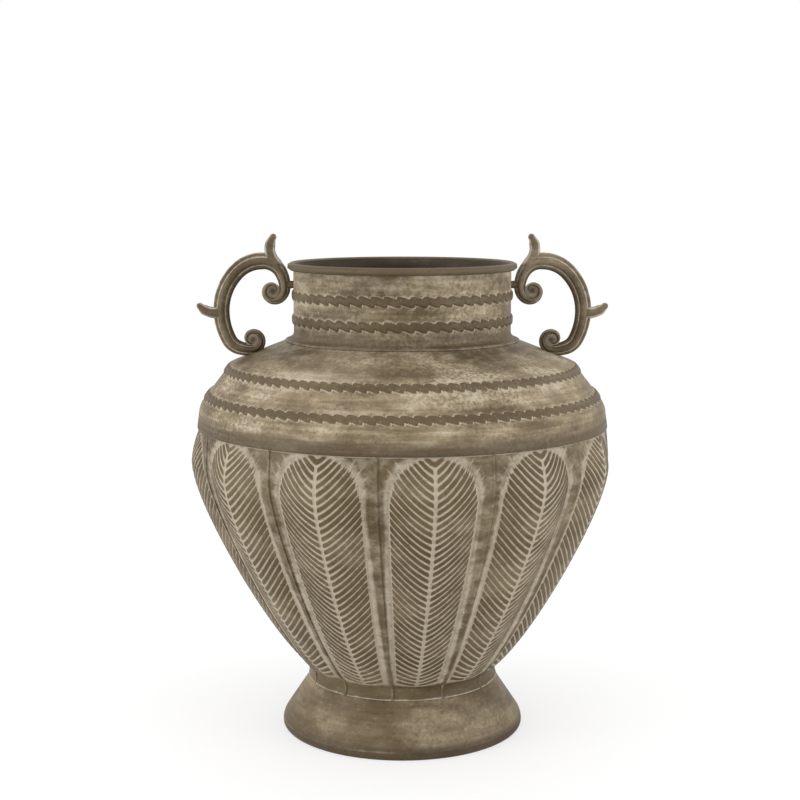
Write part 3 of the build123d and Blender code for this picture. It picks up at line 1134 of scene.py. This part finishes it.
def scroll_stations(runs, heading, turn):
    """Stations along one half of the handle: place, heading, width and depth."""
    place = off_bow((0, 0))
    width, depth = bar_width, bar_depth
    stations = [(place, heading, width, depth)]
    for radius, degrees, end_width, end_depth in runs:
        sweep = math.radians(degrees)
        steps = max(round(radius * sweep / run_step), least_run_steps)
        side = heading + turn * math.pi / 2
        middle = place + radius * Vector((math.cos(side), math.sin(side)))
        for step in range(1, steps + 1):
            share = step / steps
            spoke = side + math.pi + turn * sweep * share
            stations.append(
                (
                    middle + radius * Vector((math.cos(spoke), math.sin(spoke))),
                    heading + turn * sweep * share,
                    width + (end_width - width) * share,
                    depth + (end_depth - depth) * share,
                )
            )
        place, heading = stations[-1][0], heading + turn * sweep
        width, depth = end_width, end_depth
    return stations


def bar_reach(angle, width, depth):
    """Distance of the moulded bar's face from its middle line: a reed proud of a thinner flange."""
    across, up = abs(math.cos(angle)), abs(math.sin(angle))
    flange = width * flange_share / 2
    tip = width / 2 - flange
    flat = flange / max(up, NEARLY_ZERO)
    if flat * across > tip:
        flat = tip * across + math.sqrt(max(flange**2 - (tip * up) ** 2, 0.0))
    reed = 1 / math.hypot(across / (width * reed_share / 2), up / (depth / 2))
    return max(flat, reed), reed - flat


def swept(bm, layers, stations, sides, reach_at):
    """Skin of a bar that lies in the XZ plane, closed over at both ends."""
    wide, tall = sides, len(stations) - 1
    grid = bmesh.ops.create_grid(bm, x_segments=wide, y_segments=tall, size=GRID_HALF)["verts"]
    for vert in grid:
        angle = math.tau * (vert.co.x + GRID_HALF)
        place, heading, width, depth = stations[round((vert.co.y + GRID_HALF) * tall)]
        reach, *paints = reach_at(angle, width, depth)
        across = reach * math.cos(angle)
        vert.co = Vector(
            (
                place.x + across * math.sin(heading),
                reach * math.sin(angle),
                place.y - across * math.cos(heading),
            )
        ) * MM
        for layer, paint in zip(layers, paints):
            vert[layer] = paint
    bmesh.ops.remove_doubles(bm, verts=grid, dist=BAR_WELD * MM)


def rounded_end(station, onward):
    """Stations beyond the end of a bar that shrink to a point, onward being 1 or -1."""
    place, heading, width, depth = station
    along = Vector((math.cos(heading), math.sin(heading))) * onward
    caps = []
    for step in range(1, cap_steps + 1):
        angle = math.pi / 2 * step / cap_steps
        size = math.cos(angle)
        shift = along * width / 2 * math.sin(angle)
        caps.append((place + shift, heading, width * size, depth * size))
    return caps


def closed_ends(stations):
    """Stations of a bar with its two rounded ends."""
    return rounded_end(stations[0], -1)[::-1] + stations + rounded_end(stations[-1], 1)


def moulding(angle, width, depth):
    """Reach of the bar with a groove beside the reed where the wash stays, a painted highlight along its
    outer edge and painted shade on its inner side.
    """
    reach, proud = bar_reach(angle, width, depth)
    groove = 1 - smooth(*reed_groove_bank, abs(proud))
    inner = math.cos(angle)
    # Painted highlight on the outer edge, painted shade on the inner side
    edge = bar_edge_painted_highlight * smooth(*bar_highlight_band, -inner)
    return reach - reed_groove * groove, max(groove, edge), bar_inner_painted_shade * smooth(*bar_shade_band, inner)


def horn(angle, width, depth):
    """Oval reach of a spur, with wash along both of its edges."""
    across, up = math.cos(angle), math.sin(angle)
    edge = smooth(*spur_wash_start, abs(across)) * (1 - smooth(*spur_wash_end, abs(across)))
    return 1 / math.hypot(across / (width / 2), up / (depth / 2)), spur_wash * edge, 0.0


def spur_size(share):
    """Width and depth of a spur at a share of its length."""
    swell = min(share / spur_middle, 1)
    taper = smooth(*spur_taper, share)
    return [
        root + (middle - root) * swell + (tip - middle) * taper
        for root, middle, tip in zip(spur_root_size, spur_middle_size, spur_tip_size)
    ]


def spur_stations(root, heading, radius, turn):
    """Stations of a horn that springs off the bar."""
    heading = math.radians(heading)
    turn = math.radians(turn)
    side = heading + math.pi / 2
    middle = off_bow(root) + radius * Vector((math.cos(side), math.sin(side)))
    stations = []
    for step in range(spur_steps + 1):
        share = step / spur_steps
        spoke = side + math.pi + turn * share
        place = middle + radius * Vector((math.cos(spoke), math.sin(spoke)))
        stations.append((place, heading + turn * share, *spur_size(share)))
    return stations


def add_eye(bm, wash, shade_and_darkening, middle):
    """Web that fills the middle of a volute, with painted shade in its middle and wash along its edge.
    """
    place = off_bow(middle)
    shift = Matrix.Translation((place.x * MM, 0, place.y * MM))
    eye = bmesh.ops.create_cone(
        bm,
        cap_ends=True,
        cap_tris=True,
        segments=eye_segments,
        radius1=eye_radius * MM,
        radius2=eye_radius * MM,
        depth=eye_thickness * MM,
        matrix=shift @ Matrix.Rotation(math.pi / 2, 4, "X"),
    )["verts"]
    for vert in eye:
        out = math.hypot(vert.co.x / MM - place.x, vert.co.z / MM - place.y)
        vert[wash] = out / eye_radius
        # Painted shade, deepest in the middle of the eye
        vert[shade_and_darkening] = eye_painted_shade - out / eye_radius


def scroll_handle_mesh():
    """Mesh of the right handle: both scrolls in one bar, the webs of its volutes and its spurs."""
    bm = bmesh.new()
    wash, shade_and_darkening = paint_layers(bm, main_layers)
    upper = scroll_stations(upper_runs, math.pi / 2, 1)
    lower = scroll_stations(lower_runs, -math.pi / 2, -1)
    onward = [(place, heading + math.pi, width, depth) for place, heading, width, depth in upper[:0:-1]]
    level = [(place, heading + math.tau, width, depth) for place, heading, width, depth in lower]
    swept(bm, (wash, shade_and_darkening), closed_ends(onward + level), bar_sides, moulding)
    for spur in (top_spur, side_spur):
        swept(bm, (wash, shade_and_darkening), closed_ends(spur_stations(*spur)), spur_sides, horn)
    for middle in (upper_eye, lower_eye):
        add_eye(bm, wash, shade_and_darkening, middle)
    bmesh.ops.recalc_face_normals(bm, faces=bm.faces)
    return meshed("scroll_handle", bm)


def add_scroll_handles():
    """Two cast handles, one the mirror of the other."""
    right = scroll_handle_mesh()
    left = right.copy()
    left.transform(Matrix.Scale(-1, 4, (1, 0, 0)))
    left.flip_normals()
    placed("scroll_right", right, "handle_right", "cast_scroll", handle_paint)
    placed("scroll_left", left, "handle_left", "cast_scroll", handle_paint)


def dress_solids():
    """Finishes of the solids that are shown as they are."""
    finishes = {
        "neck_lug_left": lug_paint,
        "neck_lug_right": lug_paint,
        "floor_plate": inside_paint,
        "foot_wire": bare_wire,
        "rim_wire": bare_wire,
    }
    for name, material in finishes.items():
        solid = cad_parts[name]
        solid.data.materials.clear()
        solid.data.materials.append(material)


def white_ground(name, bounce, shade, glow):
    """Floor paint that lights the vase with its bounce, and is white to the camera but for shadow."""
    material = bpy.data.materials.new(name)
    material.use_nodes = True
    tree = material.node_tree
    shader = tree.nodes["Principled BSDF"]
    shader.inputs["Roughness"].default_value = 1.0
    shader.inputs["Specular IOR Level"].default_value = 0.0
    rays = add_node(tree, "ShaderNodeLightPath")
    seen = rays.outputs[CAMERA_RAYS[0]]
    for ray in CAMERA_RAYS[1:]:
        seen = math_node(tree, "MAXIMUM", seen, rays.outputs[ray])
    tree.links.new(ranged(tree, seen, 0, 1, bounce, shade), shader.inputs["Base Color"])
    shader.inputs["Emission Color"].default_value = (1, 1, 1, 1)
    tree.links.new(math_node(tree, "MULTIPLY", seen, glow), shader.inputs["Emission Strength"])
    return material


def add_stage():
    """White floor, white surroundings and soft lamps."""
    bpy.ops.mesh.primitive_plane_add(size=floor_size)
    floor = bpy.context.object
    floor.name = "floor"
    floor.data.materials.append(white_ground("white_floor", floor_bounce, floor_shade, floor_glow))

    world = bpy.data.worlds.new("white_room")
    bpy.context.scene.world = world
    world.use_nodes = True
    tree = world.node_tree
    sky = tree.nodes["Background"]
    sky.inputs["Color"].default_value = (1, 1, 1, 1)
    rays = add_node(tree, "ShaderNodeLightPath")
    strength = ranged(tree, rays.outputs["Is Camera Ray"], 0, 1, room_light, room_white)
    tree.links.new(strength, sky.inputs["Strength"])

    for name, place, size, power in lamps:
        lamp = bpy.data.lights.new(name, "AREA")
        lamp.size = size
        lamp.energy = power
        holder = bpy.data.objects.new(name, lamp)
        holder.location = place
        aim = Vector(lamp_target) - Vector(place)
        holder.rotation_euler = aim.to_track_quat("-Z", "Y").to_euler()
        bpy.context.scene.collection.objects.link(holder)


def add_camera():
    """Camera in front of the vase, a little higher than its rim and looking slightly down."""
    lens = bpy.data.cameras.new("camera")
    lens.lens = camera_lens
    lens.sensor_width = camera_sensor
    lens.shift_x = camera_shift
    camera = bpy.data.objects.new("camera", lens)
    camera.location = (0, -camera_reach * MM, camera_height * MM)
    camera.rotation_euler = (math.radians(90 - camera_pitch), 0, 0)
    bpy.context.scene.collection.objects.link(camera)
    bpy.context.scene.camera = camera


add_leaf_panels()
add_shoulder_dome()
add_neck_collar()
add_foot_skirt()
add_scroll_handles()
dress_solids()
add_stage()
add_camera()
bpy.context.scene.view_settings.view_transform = "Standard"
